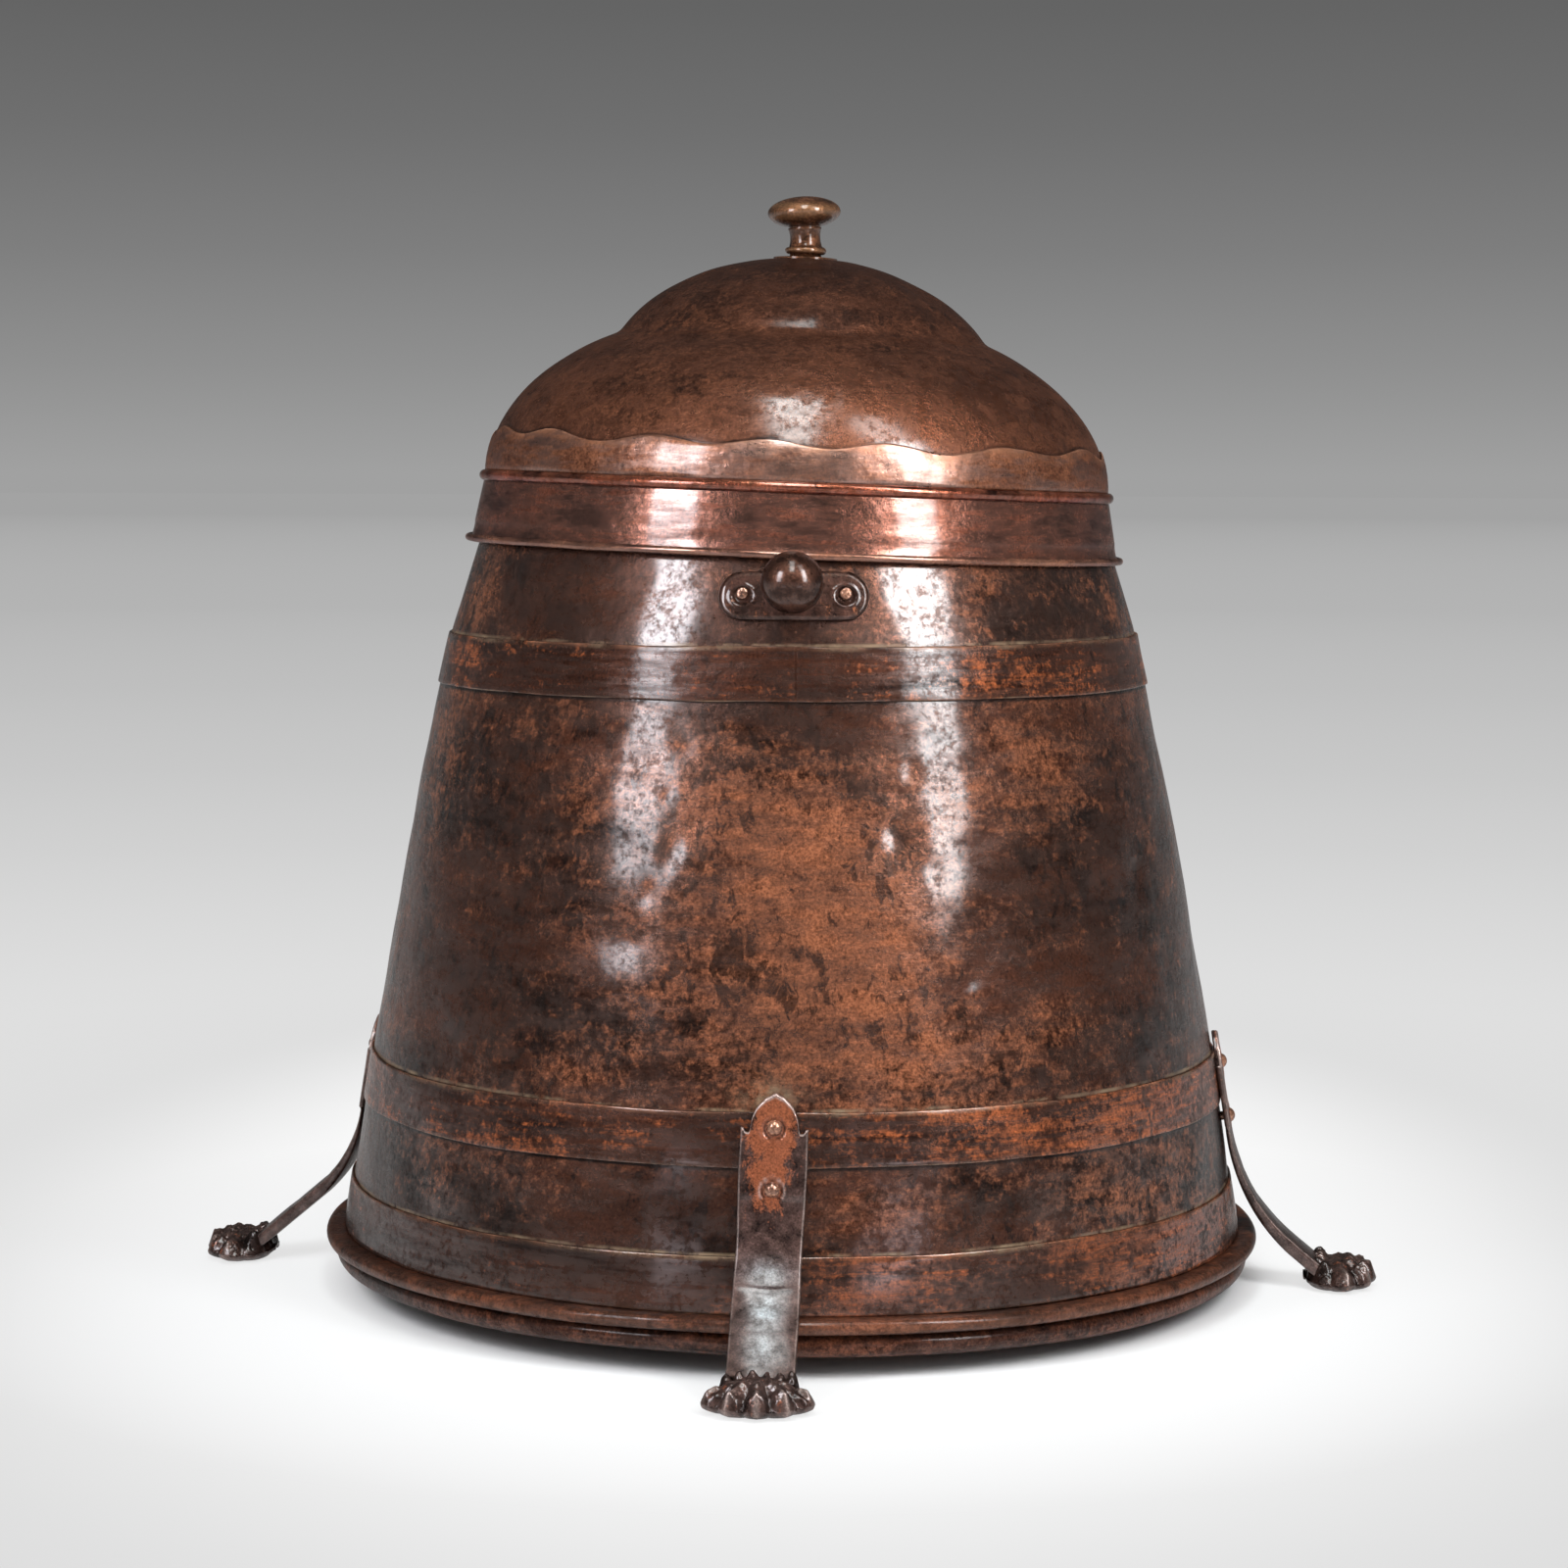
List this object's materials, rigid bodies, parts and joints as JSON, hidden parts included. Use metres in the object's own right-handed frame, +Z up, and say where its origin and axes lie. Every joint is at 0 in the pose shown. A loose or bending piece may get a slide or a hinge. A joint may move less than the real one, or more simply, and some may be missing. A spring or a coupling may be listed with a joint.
{
  "type": "coal scuttle",
  "caption": "Round lidded copper coal scuttle: tapering banded tub on cast lion-paw straps, ball carry knobs, and a loose domed lid with a wavy-edged skirt.",
  "frame": {"origin": "on the floor, below the middle of the tub", "axes": "+Z up; -Y is the front, the side of the carry knob that faces the viewer; +X is the viewer's right"},
  "size_m": [0.5447, 0.5515, 0.4954],
  "materials": {
    "body_copper": "satin",
    "band_copper": "satin",
    "base_copper": "satin",
    "lid_copper": "satin",
    "skirt_copper": "satin",
    "collar_copper": "satin",
    "bead_copper": "satin",
    "cast_bronze": "satin",
    "rivet_copper": "satin",
    "iron_wire": "matte"
  },
  "bodies": {
    "body": {"body_shell": "body_copper", "mouth_wire": "iron_wire", "upper_band": "band_copper", "lower_band": "band_copper", "plinth_band": "band_copper", "base_flange": "base_copper", "base_ring": "base_copper", "base_pan": "body_copper", "foot_front": "cast_bronze", "foot_right": "cast_bronze", "foot_back": "cast_bronze", "foot_left": "cast_bronze", "foot_rivets": "rivet_copper", "handle_plate_front": "cast_bronze", "handle_plate_back": "cast_bronze", "handle_knob_front": "cast_bronze", "handle_knob_back": "cast_bronze", "handle_rivets": "rivet_copper", "handle_roves": "rivet_copper"},
    "lid": {"lid_dome": "lid_copper", "lid_skirt": "skirt_copper", "lid_bead": "bead_copper", "lid_collar": "collar_copper", "lid_rim_wire": "iron_wire", "lid_knob": "cast_bronze", "lid_knob_washer": "cast_bronze", "lid_knob_rove": "rivet_copper"}
  },
  "joints": [
    {"name": "lid_lift", "type": "slide", "parent": "body", "child": "lid", "axis": [0, 0, 1], "range_m": [0, 0.25]}
  ]
}
